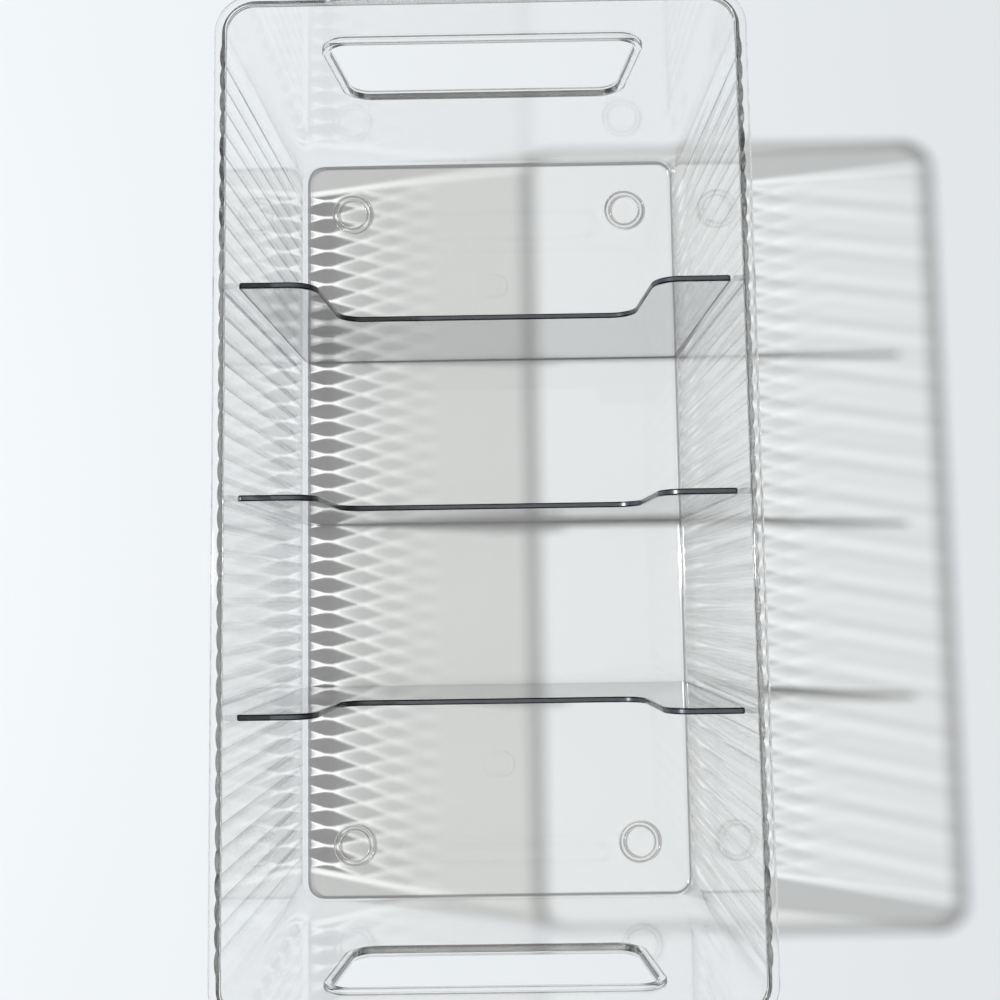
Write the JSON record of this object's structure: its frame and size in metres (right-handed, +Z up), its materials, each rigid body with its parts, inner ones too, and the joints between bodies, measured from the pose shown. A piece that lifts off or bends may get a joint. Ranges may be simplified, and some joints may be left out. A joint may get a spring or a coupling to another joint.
{
  "type": "compartment storage bin",
  "caption": "Clear moulded open-top bin with fluted long walls, end hand-holds, an outward rim, ring feet and lift-out dividers that part it into compartments.",
  "frame": {"origin": "middle of the plane that the ring feet stand on", "axes": "+X across the bin, +Y along it towards the rear divider, +Z up"},
  "size_m": [0.17, 0.321, 0.136],
  "materials": {
    "clear_moulding": "clear gloss",
    "clear_plate": "clear gloss"
  },
  "bodies": {
    "bin": {"bin": "clear_moulding"},
    "rear_divider": {"rear_divider": "clear_plate"},
    "middle_divider": {"middle_divider": "clear_plate"},
    "front_divider": {"front_divider": "clear_plate"}
  },
  "joints": [
    {"name": "rear_divider_lift", "type": "slide", "parent": "bin", "child": "rear_divider", "axis": [0, 0, 1], "range_m": [0, 0.135]},
    {"name": "middle_divider_lift", "type": "slide", "parent": "bin", "child": "middle_divider", "axis": [0, 0, 1], "range_m": [0, 0.135]},
    {"name": "front_divider_lift", "type": "slide", "parent": "bin", "child": "front_divider", "axis": [0, 0, 1], "range_m": [0, 0.135]}
  ]
}
